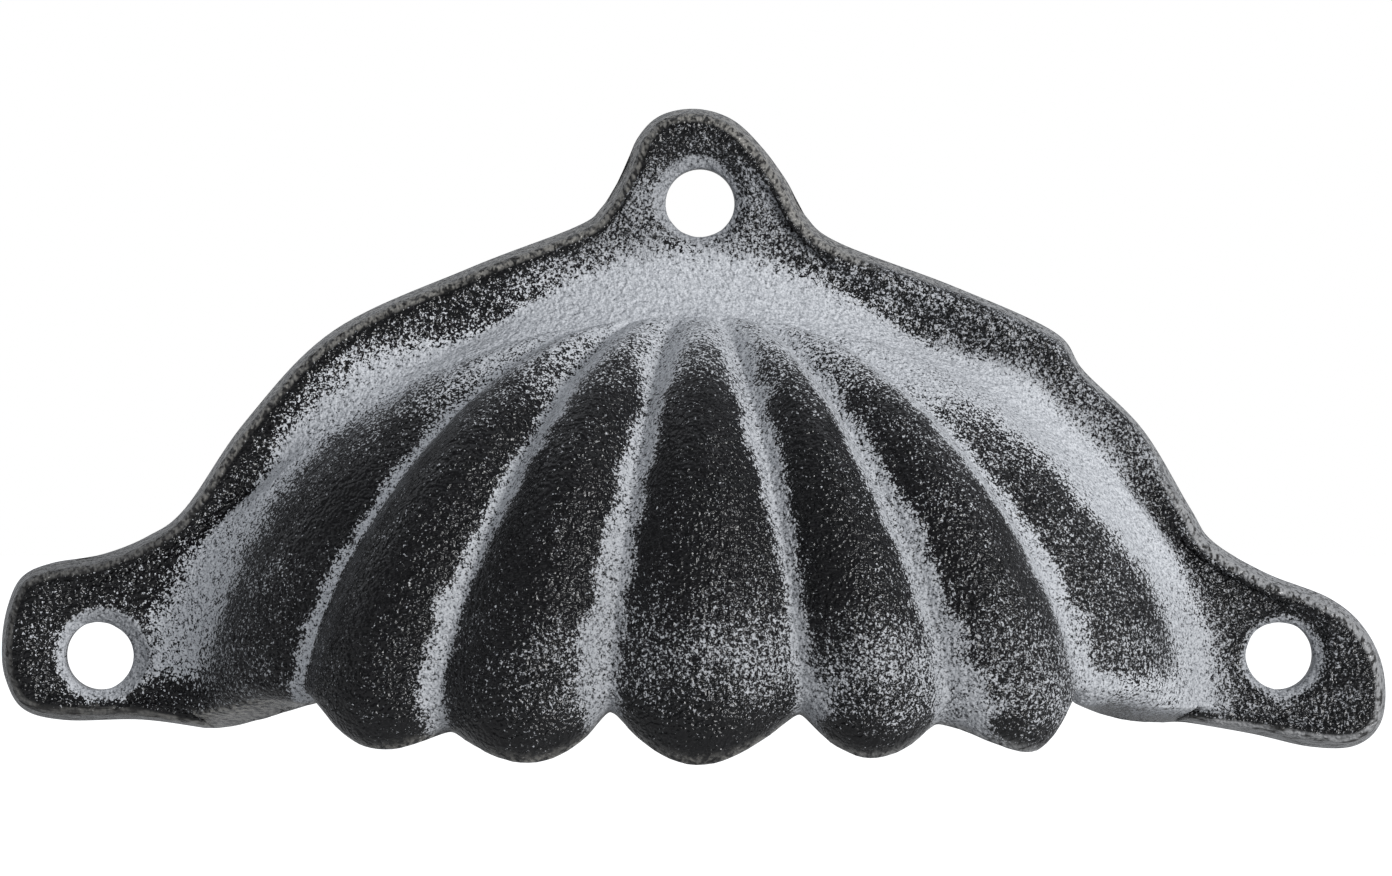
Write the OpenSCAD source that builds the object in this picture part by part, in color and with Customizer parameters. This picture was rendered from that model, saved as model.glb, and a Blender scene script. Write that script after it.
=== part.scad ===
// Fluted shell cup pull: one casting with a hollow cup, an arched flange and three screw ears.
// X is to the right, Z is up, the back of the flange lies on y = 0 and the cup stands towards -Y.
// The origin is midway between the two lower screw holes.

/* [Screw holes] */
// Distance between the two lower screw holes
hole_span = 88.9; // [86:0.1:92]
// Diameter of the screw holes
hole_d = 5.2; // [4.2:0.1:6]
// Height of the top screw hole above the lower two
top_hole_z = 34.1; // [32.5:0.1:36]
// Sideways place of the top screw hole
top_hole_x = 0.8; // [-0.5:0.1:1.5]
// Diameter of the shallow dish round each hole
dish_d = 7.4; // [6.6:0.1:8.4]
// Depth of that dish
dish_depth = 0.6; // [0.2:0.1:1]

/* [Ears] */
// Reach of the lower ears beyond their screw holes
ear_reach = 7.6; // [6.8:0.1:8.4]
// Reach of the top ear above its screw hole
lug_reach = 7.2; // [6.4:0.1:8]
// Width of the flange beside the cup, at its shoulders
band_w = 6; // [5:0.1:7]

/* [Flange] */
// Thickness of the flange at its raised rim
rim_t = 3.3; // [2.8:0.1:4.4]
// Thickness of the flange in the valley inside the rim
valley_t = 2.7; // [2.2:0.1:3.4]
// Lean of the cast side face, from back to front
rim_draft = 0.5; // [0.3:0.1:1.6]
// Radius of the rounded rim edge
rim_round = 1; // [0.6:0.1:1.6]

/* [Cup] */
// Width of the cup where it meets the flange
cup_w = 75; // [73:0.1:76]
// Height of the cup from its widest level to the top of its arch
cup_h = 27; // [25.5:0.1:28]
// Sideways place of the cup's middle
cup_x = 0.4; // [-0.4:0.1:1]
// Furthest reach of the flutes in front of the back face
projection = 23; // [19:0.1:28]
// Fullness of the cup, larger is boxier
fullness = 3; // [2.4:0.1:3.6]
// Softening of the cup's foot, where it springs from the flange
foot_soft = 0.35; // [0:0.05:0.5]
// Width of the hollow corner between cup and flange
fillet_w = 5; // [3.5:0.1:6.5]
// Rise of that hollow corner above the valley
fillet_h = 2; // [1.2:0.1:2.8]
// Thickness of the cup wall in the grooves
wall_t = 2.8; // [2:0.1:3.6]
// Set-in of the hollow's back edge from the cup's outside edge
mouth_inset = 1.2; // [0.6:0.1:2]

/* [Flutes] */
// Height of a flute above its grooves
flute_h = 2.2; // [1.2:0.1:2.8]
// Share of that height on the outermost two, which run into the flange
outer_share = 0.9; // [0.5:0.05:1.1]
// Roundness at the bottom of the grooves, larger is rounder
groove_soft = 0.18; // [0.1:0.02:0.3]
// Height above the arch of the point the flutes fan out from
fan_rise = 2.8; // [1.4:0.1:6]
// Pull of the flutes towards the middle on their way up
pinch = 0.36; // [0:0.02:0.5]
// Share of the flute height that shows inside the hollow
inner_share = 0.6; // [0.3:0.05:0.8]
// Drop of the lip below the widest level, in the grooves beside the middle flute
notch_drop = 2; // [1.6:0.1:3]
// Drop of the lip below the widest level, at the tip of the middle flute
tip_drop = 5.5; // [4:0.1:6.4]
// Inward roll of the lip
lip_curl = 3.4; // [1.5:0.1:4.5]

/* [Hidden] */

widest_z = -1.5;
ear_feet = [4.05, 3.57];
fan_h = cup_h + fan_rise;
foot_reach = 10;
fade_reach = 8;
edge_lean = 1.3;
inner_roll = 0.35;
cup_a = cup_w / 2;
corner_t = valley_t + fillet_h;
dome_rise = projection - corner_t - flute_h;
hollow_a = cup_a - mouth_inset;
hollow_h = cup_h - mouth_inset;
hollow_rise = corner_t + dome_rise - wall_t;

// directions of the six grooves round the cup, from left to right
grooves = [-49.7, -29.4, -9.5, 11.8, 29, 48.9];
lobe_edges = concat([-90], grooves, [90]);

// cast unevenness of the lip: each groove's and each flute's share of the drops, how far a tip
// sits to one side of its flute, and how sharply the outer flutes' edges turn up into a groove
notch_shares = [0.68, 1.72, 0.97, 1.04, 1.41, 0.48];
tip_shares = [0.85, 0.985, 1, 0.925, 0.89];
tip_skews = [-0.5, -0.15, 0.15, 0.1, -0.3];
end_turns = [2.7, 4.8];
lobe_steps = 8;
columns = 7 * lobe_steps;

// rows up the cup: the rolled lip first, then the body up to the apex
lip_rows = 5;
body_rows = 25;
rows = lip_rows + body_rows;
lip_turn = 68;

// steps of the outline between two of its points
rim_steps = 3;

function mix(a, b, t) = a + (b - a) * t;
function clamp(t) = min(1, max(0, t));
function clamp_side(t) = min(1, max(-1, t));
function ease(t) = let (c = clamp(t)) c * c * (3 - 2 * c);
function unit(v) = v / norm(v);

// flute that a column lies on, and its share of the way across, closer together beside the grooves
function lobe_of(c) = min(6, floor(c / lobe_steps));
function across(c) =
    let (lobe = lobe_of(c), u = c / lobe_steps - lobe)
    lobe == 0 ? sin(90 * u) : lobe == 6 ? 1 - cos(90 * u) : (1 - cos(180 * u)) / 2;

// direction round the cup of a column, at the widest level
function column_angle(c) = mix(lobe_edges[lobe_of(c)], lobe_edges[lobe_of(c) + 1], across(c));

// the same higher up, where the flutes draw together and run out under the arch
function turn_at(c, lift) =
    let (
        s = sin(column_angle(c)),
        drawn = s * (1 - pinch * sin(lift) * (1 - s ^ 4)),
        spread = sqrt(1 - (sin(lift) * cup_h / fan_h) ^ 2) / max(0.01, cos(lift)),
        fanned = spread * drawn / (1 + (spread ^ 3 - 1) * abs(drawn) ^ 3) ^ (1 / 3)
    )
    asin(clamp_side(mix(fanned, s, 0.15)));

// rounded rise and fall across a flute, at share u of the way: 0 in a groove, 1 on the crest
function rounded(u) =
    let (s = sin(180 * u), k = groove_soft)
    clamp((sqrt(s ^ 2 + k ^ 2) - k) / (sqrt(1 + k ^ 2) - k)) ^ 0.85;
function hump(c) = rounded(across(c));

// swell of the flutes, the outermost two running out into the flange
function lobe_swell(c) =
    lobe_of(c) == 0 ? outer_share * hump(c) * ease(across(c) / 0.8) :
    lobe_of(c) == 6 ? outer_share * hump(c) * ease((1 - across(c)) / 0.8) : hump(c);

// point of a domed surface [x, z, depth], moved out along its normal by swell
function dome_point(a, h, base, rise, turn, lift, swell) =
    let (
        x = a * cos(lift) * sin(turn),
        z = h * sin(lift),
        rho = sqrt(max(0, 1 - (cos(lift) * cos(turn)) ^ 2)),
        dome = 1 - rho ^ fullness,
        foot = foot_soft * rho ^ foot_reach,
        steep = rise * (fullness * rho ^ (fullness - 2) * (1 - foot)
                        + dome * foot_soft * foot_reach * rho ^ (foot_reach - 2)),
        n = unit([steep * x / a ^ 2, steep * z / h ^ 2, 1])
    )
    [cup_x + x, widest_z + z, base + rise * dome * (1 - foot)] + swell * (1 - rho ^ fade_reach) * n;

// the same dome carried below the widest level as a rolled lip
function lip_point(a, h, base, rise, turn, phi, swell, drop, curl) =
    let (
        top = dome_point(a, h, base, rise, turn, 0, swell),
        ahead = dome_point(a, h, base, rise, turn, 0, swell + 1) - top,
        hold = ease(cos(turn) * 2.2)
    )
    [top[0], top[1] - drop * sin(phi) / sin(lip_turn), top[2]] - ahead * curl * hold * (1 - cos(phi));

// drop of the lip's lowest edge: deepest at the tips, then even on the outer flutes as on the ears
function lip_edge(c) =
    let (
        lobe = lobe_of(c),
        u = across(c),
        side = lobe == 0 ? 0 : 1,
        groove = notch_drop * (lobe == 0 ? notch_shares[0] : lobe == 6 ? notch_shares[5] :
                               mix(notch_shares[lobe - 1], notch_shares[lobe], u))
    )
    lobe == 0 || lobe == 6
        ? mix(ear_feet[side], groove, (lobe == 0 ? u : 1 - u) ^ end_turns[side])
        : mix(groove, tip_drop * tip_shares[lobe - 1], rounded(u + tip_skews[lobe - 1] * u * (1 - u)));

// how much further down the hollow's edge is than the outer edge: the outer flutes lean as the rim does
function lip_lean(c) = mix(-0.5, edge_lean, ease((abs(sin(column_angle(c))) - 0.74) / 0.13));

function lift_of(j) = 90 * (j - lip_rows) / body_rows;
function phi_of(j) = lip_turn * (lip_rows - j) / lip_rows;

function outer_point(j, c) =
    j < lip_rows
        ? lip_point(cup_a, cup_h, corner_t, dome_rise, column_angle(c), phi_of(j),
                    flute_h * lobe_swell(c), lip_edge(c) - max(0, lip_lean(c)), lip_curl)
        : dome_point(cup_a, cup_h, corner_t, dome_rise, turn_at(c, lift_of(j)), lift_of(j),
                     flute_h * lobe_swell(c));

function inner_point(j, c) =
    j < lip_rows
        ? lip_point(hollow_a, hollow_h, 0, hollow_rise, column_angle(c), phi_of(j),
                    flute_h * inner_share * lobe_swell(c), lip_edge(c) + min(0, lip_lean(c)),
                    lip_curl * inner_roll)
        : dome_point(hollow_a, hollow_h, 0, hollow_rise, turn_at(c, lift_of(j)), lift_of(j),
                     flute_h * inner_share * lobe_swell(c));

// point of the flange outline beside the cup, a band outside its arch
function beside_arch(angle, band) =
    [cup_x + cup_a * cos(angle), widest_z + cup_h * sin(angle)]
    + band * unit([cos(angle) / cup_a, sin(angle) / cup_h]);

left_hole = [-hole_span / 2, 0];
right_hole = [hole_span / 2, 0];
top_hole = [top_hole_x, top_hole_z];

// the outline at the back face, from the left end of the lip over the top to the right end:
// the ears' points in shares of their reach, the shoulders' as [direction, share of the band]
left_ear = [[0.39, -0.645], [-0.36, -0.65], [-0.78, -0.54], [-0.96, -0.235], [-0.995, 0.105],
            [-0.94, 0.475], [-0.795, 0.775], [-0.495, 0.915], [0, 1], [0.455, 1.18]];
left_shoulder = [[157.4, 0.75], [144.3, 0.82], [129.9, 1.04], [113.7, 1.06], [102.1, 1.26]];
lug = [[-1.03, -0.03], [-0.805, 0.335], [-0.655, 0.695], [-0.415, 0.93], [-0.04, 1], [0.335, 0.89],
       [0.64, 0.61], [0.915, 0.235], [1.11, -0.125]];
right_shoulder = [[75, 1.115], [62.1, 0.98], [50.1, 1.015], [44.8, 0.81], [35, 0.735], [23.6, 0.6]];
right_ear = [[-0.64, 1.13], [-0.11, 0.815], [0.52, 0.565], [0.87, 0.265], [1.06, -0.16],
             [1.045, -0.645], [0.79, -0.9], [0.335, -0.915], [-0.255, -0.785]];

outline_points = concat(
    [[cup_x - cup_a + 0.5, widest_z - ear_feet[0]]],
    [for (p = left_ear) left_hole + ear_reach * p],
    [for (p = left_shoulder) beside_arch(p[0], band_w * p[1])],
    [for (p = lug) top_hole + lug_reach * p],
    [for (p = right_shoulder) beside_arch(p[0], band_w * p[1])],
    [for (p = right_ear) right_hole + ear_reach * p],
    [[cup_x + cup_a - 0.5, widest_z - ear_feet[1]]]
);
last_point = len(outline_points) - 1;

function bend(p, q, r, s, t) =
    0.5 * (2 * q + (r - p) * t + (2 * p - 5 * q + 4 * r - s) * t ^ 2 + (3 * q - p - 3 * r + s) * t ^ 3);

function smooth_at(i) =
    let (k = min(last_point - 1, floor(i / rim_steps)), t = i / rim_steps - k, v = outline_points)
    bend(v[max(0, k - 1)], v[k], v[k + 1], v[min(last_point, k + 2)], t);

rim_last = last_point * rim_steps;
rim = [for (i = [0:rim_last]) smooth_at(i)];
rim_inward = [
    for (i = [0:rim_last])
        let (d = unit(rim[min(rim_last, i + 1)] - rim[max(0, i - 1)])) [d[1], -d[0]]
];

// the side leans and rounds less where the outline runs into the lip
function side_scale(i) = mix(0.6, 1, ease(min(i, rim_last - i) / 5));

function side_point(i, inset, depth) =
    let (p = rim[i] + rim_inward[i] * inset * side_scale(i)) [p[0], p[1], depth];

arch_last = 2 * rows;
function arch_point(i) = i <= rows ? outer_point(i, 0) : outer_point(arch_last - i, columns);

// front of the flange between the arch and the rim, at share f of the way out
function flange_point(i, f) =
    let (
        from = mix(arch_point(floor(i / 2)), arch_point(ceil(i / 2)), 0.5),
        to = side_point(i, rim_draft + rim_round, rim_t),
        reach = norm([to[0] - from[0], to[1] - from[1]]),
        gone = reach * f,
        hollow = fillet_h * (1 - clamp(gone / min(fillet_w, reach))) ^ 2,
        raised = (rim_t - valley_t) * ease(1 - (reach - gone) / min(4, reach))
    )
    [mix(from[0], to[0], f), mix(from[1], to[1], f), valley_t + hollow + raised];

flange_shares = [0.16, 0.36, 0.6, 0.8];
round_45 = rim_round * (1 - sqrt(0.5));

function flange_ring(k, i) =
    k < 4 ? flange_point(i, flange_shares[k]) :
    k == 4 ? side_point(i, rim_draft + rim_round, rim_t) :
    k == 5 ? side_point(i, rim_draft + round_45, rim_t - round_45) :
    k == 6 ? side_point(i, rim_draft, rim_t - rim_round) :
    side_point(i, 0, 0);
ring_last = 7;

// all the points: outer cup, flange rings, inner cup
span = columns + 1;
outer_count = rows * span + 1;
ring_count = rim_last + 1;
inner_start = outer_count + (ring_last + 1) * ring_count;

surface = concat(
    [for (j = [0:rows - 1], c = [0:columns]) outer_point(j, c)],
    [outer_point(rows, 0)],
    [for (k = [0:ring_last], i = [0:rim_last]) flange_ring(k, i)],
    [for (j = [0:rows - 1], c = [0:columns]) inner_point(j, c)],
    [inner_point(rows, 0)]
);

function cup_index(start, j, c) = start + (j < rows ? j * span + c : rows * span);
function ring_index(k, i) = outer_count + k * ring_count + i;
function arch_index(start, i) =
    i <= rows ? cup_index(start, i, 0) : cup_index(start, arch_last - i, columns);

function cup_faces(start) = [
    for (j = [0:rows - 2], c = [0:columns - 1]) each [
        [cup_index(start, j, c), cup_index(start, j + 1, c), cup_index(start, j + 1, c + 1)],
        [cup_index(start, j, c), cup_index(start, j + 1, c + 1), cup_index(start, j, c + 1)]
    ],
    for (c = [0:columns - 1])
        [cup_index(start, rows - 1, c), cup_index(start, rows, 0), cup_index(start, rows - 1, c + 1)]
];

// joins the arch to a ring with twice as many points
function stitch_faces(start, k) = [
    for (i = [0:arch_last - 1]) each [
        [arch_index(start, i), ring_index(k, 2 * i), ring_index(k, 2 * i + 1)],
        [arch_index(start, i), ring_index(k, 2 * i + 1), arch_index(start, i + 1)],
        [arch_index(start, i + 1), ring_index(k, 2 * i + 1), ring_index(k, 2 * i + 2)]
    ]
];

ring_faces = [
    for (k = [0:ring_last - 1], i = [0:rim_last - 1]) each [
        [ring_index(k, i), ring_index(k + 1, i), ring_index(k + 1, i + 1)],
        [ring_index(k, i), ring_index(k + 1, i + 1), ring_index(k, i + 1)]
    ]
];

lip_faces = [
    for (c = [0:columns - 1]) each [
        [cup_index(0, 0, c), cup_index(0, 0, c + 1), cup_index(inner_start, 0, c + 1)],
        [cup_index(0, 0, c), cup_index(inner_start, 0, c + 1), cup_index(inner_start, 0, c)]
    ]
];

// closes an end of the lip strip, from the hollow's edge to the outline
function end_faces(i, cup, hollow) = concat(
    [[hollow, ring_index(0, i), cup]],
    [for (k = [0:ring_last - 1]) [hollow, ring_index(k + 1, i), ring_index(k, i)]]
);

function turned(faces) = [for (f = faces) [f[0], f[2], f[1]]];

surface_faces = concat(
    cup_faces(0),
    stitch_faces(0, 0),
    ring_faces,
    turned(cup_faces(inner_start)),
    turned(stitch_faces(inner_start, ring_last)),
    lip_faces,
    end_faces(0, cup_index(0, 0, 0), cup_index(inner_start, 0, 0)),
    turned(end_faces(rim_last, cup_index(0, 0, columns), cup_index(inner_start, 0, columns)))
);

// a screw hole through the flange with its shallow dish
module screw_hole(at) {
    translate([at[0], 1, at[1]])
        rotate([90, 0, 0])
            cylinder(h = 2 * rim_t + 2, d = hole_d, $fn = 64);
    translate([at[0], dish_depth - valley_t, at[1]])
        rotate([90, 0, 0])
            cylinder(h = 2 * dish_depth, d1 = hole_d + 0.4, d2 = 2 * dish_d - hole_d - 0.4, $fn = 64);
}

module cup_pull() {
    color([0.16, 0.17, 0.19])
        difference() {
            polyhedron(points = [for (p = surface) [p[0], -p[2], p[1]]], faces = surface_faces);
            for (hole = [left_hole, right_hole, top_hole])
                screw_hole(hole);
        }
}

cup_pull();
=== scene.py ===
import math

import bpy
import numpy as np
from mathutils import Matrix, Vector, kdtree, noise


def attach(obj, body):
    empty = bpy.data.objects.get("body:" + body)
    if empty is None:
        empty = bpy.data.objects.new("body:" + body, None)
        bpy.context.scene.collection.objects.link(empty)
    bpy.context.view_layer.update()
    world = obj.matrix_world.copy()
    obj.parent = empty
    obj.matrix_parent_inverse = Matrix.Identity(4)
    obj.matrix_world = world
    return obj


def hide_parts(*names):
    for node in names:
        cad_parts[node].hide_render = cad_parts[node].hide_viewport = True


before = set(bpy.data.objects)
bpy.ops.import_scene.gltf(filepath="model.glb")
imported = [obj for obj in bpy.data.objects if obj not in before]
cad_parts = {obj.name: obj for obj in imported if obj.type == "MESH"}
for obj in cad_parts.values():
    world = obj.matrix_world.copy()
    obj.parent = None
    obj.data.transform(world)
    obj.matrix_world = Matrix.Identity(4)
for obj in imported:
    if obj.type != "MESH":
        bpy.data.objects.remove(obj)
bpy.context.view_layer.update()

# The casting is drawn with the formulas of the part's source, in finer steps. Until the mesh is made,
# lengths are in millimetres, angles in degrees, and a point is x to the right, z up, and its depth from
# the back face towards the front.
MM = 0.001

# Screw holes, each with a shallow dish
HOLE_SPAN = 88.9
HOLE_D = 5.2
TOP_HOLE = (0.8, 34.1)
LEFT_HOLE = (-HOLE_SPAN / 2, 0.0)
RIGHT_HOLE = (HOLE_SPAN / 2, 0.0)
DISH_D = 7.4
DISH_DEPTH = 0.6

# Ears and flange
EAR_REACH = 7.6
LUG_REACH = 7.2
BAND_W = 6.0
RIM_T = 3.3
VALLEY_T = 2.7
RIM_DRAFT = 0.5
RIM_ROUND = 1.0
RIM_SLOPE = 4.0
END_SIDE = 0.6
END_REACH = 5.0

# Cup and hollow
CUP_W = 75.0
CUP_H = 27.0
CUP_X = 0.4
WIDEST_Z = -1.5
PROJECTION = 23.0
FULLNESS = 3.0
FOOT_SOFT = 0.35
FOOT_REACH = 10.0
FADE_REACH = 8.0
FILLET_W = 5.0
FILLET_H = 2.0
WALL_T = 2.8
MOUTH_INSET = 1.2

# Flutes and the grooves between them, from left to right
GROOVES = (-49.7, -29.4, -9.5, 11.8, 29.0, 48.9)
FLUTES = len(GROOVES) + 1
LAST_FLUTE = FLUTES - 1
FLUTE_H = 2.2
OUTER_SHARE = 0.9
OUTER_RUN = 0.8
INNER_SHARE = 0.6
GROOVE_SOFT = 0.18
HUMP_POWER = 0.85
FAN_H = CUP_H + 2.8
EVEN_FAN = 0.15
PINCH = 0.36

# Scalloped lip: each groove's and each flute's share of the drops, how far a tip sits to one side
# of its flute, and how sharply the outer flutes' edges turn up into a groove
NOTCH_DROP = 2.0
TIP_DROP = 5.5
NOTCH_SHARES = (0.68, 1.72, 0.97, 1.04, 1.41, 0.48)
TIP_SHARES = (0.85, 0.985, 1.0, 0.925, 0.89)
TIP_SKEWS = (-0.5, -0.15, 0.15, 0.1, -0.3)
END_TURNS = (2.7, 4.8)
EAR_FEET = (4.05, 3.57)
LIP_CURL = 3.4
INNER_ROLL = 0.35
LIP_TURN = 68.0
CURL_HOLD = 2.2
TIP_LEAN = -0.5
EDGE_LEAN = 1.3
LEAN_FROM = 0.74
LEAN_OVER = 0.13

CUP_A = CUP_W / 2
CORNER_T = VALLEY_T + FILLET_H
DOME_RISE = PROJECTION - CORNER_T - FLUTE_H
HOLLOW_A = CUP_A - MOUTH_INSET
HOLLOW_H = CUP_H - MOUTH_INSET
HOLLOW_RISE = CORNER_T + DOME_RISE - WALL_T

# How finely the surface is drawn
LOBE_STEPS = 34
LIP_ROWS = 22
BODY_ROWS = 90
TOP_LIFT = 84.0
RIM_STEPS = 12
FLANGE_STEPS = 14
ROUND_STEPS = 6
HOLE_STEPS = 96
SIDE_SHARES = (0.33, 0.66, 1.0)


def mix(a, b, t):
    return a + (b - a) * t


def ease(t):
    t = np.clip(t, 0.0, 1.0)
    return t * t * (3 - 2 * t)


def ramp(value, start, end):
    """Goes smoothly from 0 where a value is at start to 1 where it is at end."""
    return ease((value - start) / (end - start))


def sind(a):
    return np.sin(np.radians(a))


def cosd(a):
    return np.cos(np.radians(a))


# The cup: columns across the flutes, and rows from the lip up to the apex

EDGES = np.array((-90.0,) + GROOVES + (90.0,))
COLUMNS = FLUTES * LOBE_STEPS
SPAN = COLUMNS + 1
ROWS = LIP_ROWS + BODY_ROWS

column = np.arange(SPAN)
column_lobe = np.minimum(LAST_FLUTE, column // LOBE_STEPS)
on_left_end = column_lobe == 0
on_right_end = column_lobe == LAST_FLUTE
part_way = column / LOBE_STEPS - column_lobe
column_share = (1 - cosd(180 * part_way)) / 2
column_share = np.where(on_left_end, sind(90 * part_way), column_share)
column_share = np.where(on_right_end, 1 - cosd(90 * part_way), column_share)
column_turn = mix(EDGES[column_lobe], EDGES[column_lobe + 1], column_share)


def rounded(share):
    """Rounded rise and fall across a flute: 0 in a groove and 1 on the crest."""
    s, k = sind(180 * share), GROOVE_SOFT
    return np.clip((np.sqrt(s**2 + k**2) - k) / (math.sqrt(1 + k**2) - k), 0, 1) ** HUMP_POWER


def lobe_swell():
    """Swell of the flutes, the outermost two running out into the flange."""
    left = np.where(on_left_end, OUTER_SHARE * ease(column_share / OUTER_RUN), 1.0)
    right = np.where(on_right_end, OUTER_SHARE * ease((1 - column_share) / OUTER_RUN), 1.0)
    return column_hump * left * right


column_hump = rounded(column_share)
column_swell = lobe_swell()


def turn_at(lift):
    """Direction round the cup of each column, as the flutes draw together under the arch."""
    s = sind(column_turn)
    drawn = s * (1 - PINCH * sind(lift) * (1 - s**4))
    spread = np.sqrt(1 - (sind(lift) * CUP_H / FAN_H) ** 2) / cosd(lift)
    fanned = spread * drawn / (1 + (spread**3 - 1) * np.abs(drawn) ** 3) ** (1 / 3)
    return np.degrees(np.arcsin(np.clip(mix(fanned, s, EVEN_FAN), -1, 1)))


def dome(a, h, base, rise, turn, lift, swell):
    """Points x, z, depth of a domed surface, moved out along its normal by swell."""
    x = a * cosd(lift) * sind(turn)
    z = h * sind(lift)
    rho = np.sqrt(np.clip(1 - (cosd(lift) * cosd(turn)) ** 2, 0, None))
    crown = 1 - rho**FULLNESS
    foot = FOOT_SOFT * rho**FOOT_REACH
    steep = rise * (FULLNESS * rho ** (FULLNESS - 2) * (1 - foot)
                    + crown * FOOT_SOFT * FOOT_REACH * rho ** (FOOT_REACH - 2))
    normal = np.stack([steep * x / a**2, steep * z / h**2, np.ones_like(x)], -1)
    normal /= np.linalg.norm(normal, axis=-1, keepdims=True)
    place = np.stack([CUP_X + x, WIDEST_Z + z, base + rise * crown * (1 - foot)], -1)
    return place + (np.asarray(swell) * (1 - rho**FADE_REACH))[..., None] * normal


def lip_edge():
    """Drop of the lip's lowest edge: deepest at the tips, even on the outer flutes as on the ears."""
    share = column_share
    foot = np.where(on_left_end, EAR_FEET[0], EAR_FEET[1])
    turn = np.where(on_left_end, END_TURNS[0], END_TURNS[1])
    from_side = np.where(on_left_end, share, 1 - share)
    left = np.array((NOTCH_SHARES[0],) + NOTCH_SHARES)[column_lobe]
    right = np.array(NOTCH_SHARES + (NOTCH_SHARES[-1],))[column_lobe]
    groove = NOTCH_DROP * mix(left, right, share)
    tip = TIP_DROP * np.array((1.0,) + TIP_SHARES + (1.0,))[column_lobe]
    skew = np.array((0.0,) + TIP_SKEWS + (0.0,))[column_lobe]
    scallop = mix(groove, tip, rounded(share + skew * share * (1 - share)))
    return np.where(on_left_end | on_right_end, mix(foot, groove, from_side**turn), scallop)


def cup_grid(a, h, base, rise, share, drop, curl):
    """Rows of a cup surface from the lip up to just under the apex, and the apex itself."""
    level = np.zeros_like(column_turn)
    swell = FLUTE_H * share * column_swell
    top = dome(a, h, base, rise, column_turn, level, swell)
    ahead = dome(a, h, base, rise, column_turn, level, swell + 1) - top
    hold = ease(cosd(column_turn) * CURL_HOLD)
    rows = []
    for j in range(LIP_ROWS):
        phi = LIP_TURN * (LIP_ROWS - j) / LIP_ROWS
        row = top - ahead * (curl * hold * (1 - cosd(phi)))[:, None]
        row[:, 1] -= drop * sind(phi) / sind(LIP_TURN)
        rows.append(row)
    for j in range(BODY_ROWS):
        lift = np.full_like(column_turn, TOP_LIFT * j / (BODY_ROWS - 1))
        rows.append(dome(a, h, base, rise, turn_at(lift), lift, swell))
    apex = dome(a, h, base, rise, np.zeros(1), np.full(1, 90.0), np.zeros(1))
    return np.array(rows), apex


lip_low = lip_edge()
# the lip's inner edge is a little higher in the middle, and its outer edge is at the ends
lip_lean = mix(TIP_LEAN, EDGE_LEAN, ease((np.abs(sind(column_turn)) - LEAN_FROM) / LEAN_OVER))
outer_low = lip_low - np.maximum(0, lip_lean)
inner_low = lip_low + np.minimum(0, lip_lean)
outer, outer_apex = cup_grid(CUP_A, CUP_H, CORNER_T, DOME_RISE, 1.0, outer_low, LIP_CURL)
inner, inner_apex = cup_grid(
    HOLLOW_A, HOLLOW_H, 0.0, HOLLOW_RISE, INNER_SHARE, inner_low, LIP_CURL * INNER_ROLL
)


# The outline of the flange at its back face: the ears' points are in shares of their reach from a hole,
# the shoulders' are a direction and a share of the band's width beside the arch

LEFT_EAR = ((0.39, -0.645), (-0.36, -0.65), (-0.78, -0.54), (-0.96, -0.235), (-0.995, 0.105),
            (-0.94, 0.475), (-0.795, 0.775), (-0.495, 0.915), (0, 1), (0.455, 1.18))
LEFT_SHOULDER = ((157.4, 0.75), (144.3, 0.82), (129.9, 1.04), (113.7, 1.06), (102.1, 1.26))
LUG = ((-1.03, -0.03), (-0.805, 0.335), (-0.655, 0.695), (-0.415, 0.93), (-0.04, 1),
       (0.335, 0.89), (0.64, 0.61), (0.915, 0.235), (1.11, -0.125))
RIGHT_SHOULDER = ((75, 1.115), (62.1, 0.98), (50.1, 1.015), (44.8, 0.81), (35, 0.735), (23.6, 0.6))
RIGHT_EAR = ((-0.64, 1.13), (-0.11, 0.815), (0.52, 0.565), (0.87, 0.265), (1.06, -0.16),
             (1.045, -0.645), (0.79, -0.9), (0.335, -0.915), (-0.255, -0.785))
END_INSET = 0.5


def beside_arch(angle, share):
    """A point of the outline, a share of the band's width outside the cup's arch."""
    out = np.array([cosd(angle) / CUP_A, sind(angle) / CUP_H])
    arch_point = np.array([CUP_X + CUP_A * cosd(angle), WIDEST_Z + CUP_H * sind(angle)])
    return arch_point + BAND_W * share * out / np.linalg.norm(out)


def from_hole(hole, reach, shares):
    return [np.array(hole) + reach * np.array(p) for p in shares]


outline = np.array(
    [np.array([CUP_X - CUP_A + END_INSET, WIDEST_Z - EAR_FEET[0]])]
    + from_hole(LEFT_HOLE, EAR_REACH, LEFT_EAR)
    + [beside_arch(*p) for p in LEFT_SHOULDER]
    + from_hole(TOP_HOLE, LUG_REACH, LUG)
    + [beside_arch(*p) for p in RIGHT_SHOULDER]
    + from_hole(RIGHT_HOLE, EAR_REACH, RIGHT_EAR)
    + [np.array([CUP_X + CUP_A - END_INSET, WIDEST_Z - EAR_FEET[1]])]
)


def smooth_outline(corners, steps):
    """A curve through the points, with this many steps between two of them."""
    last = len(corners) - 1
    places = []
    for i in range(last * steps + 1):
        k = min(last - 1, i // steps)
        t = i / steps - k
        p, q = corners[max(0, k - 1)], corners[k]
        r, s = corners[k + 1], corners[min(last, k + 2)]
        places.append(0.5 * (2 * q + (r - p) * t + (2 * p - 5 * q + 4 * r - s) * t**2
                             + (3 * q - p - 3 * r + s) * t**3))
    return np.array(places)


rim = smooth_outline(outline, RIM_STEPS)
rim_last = len(rim) - 1
rim_step = np.arange(rim_last + 1)
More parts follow.
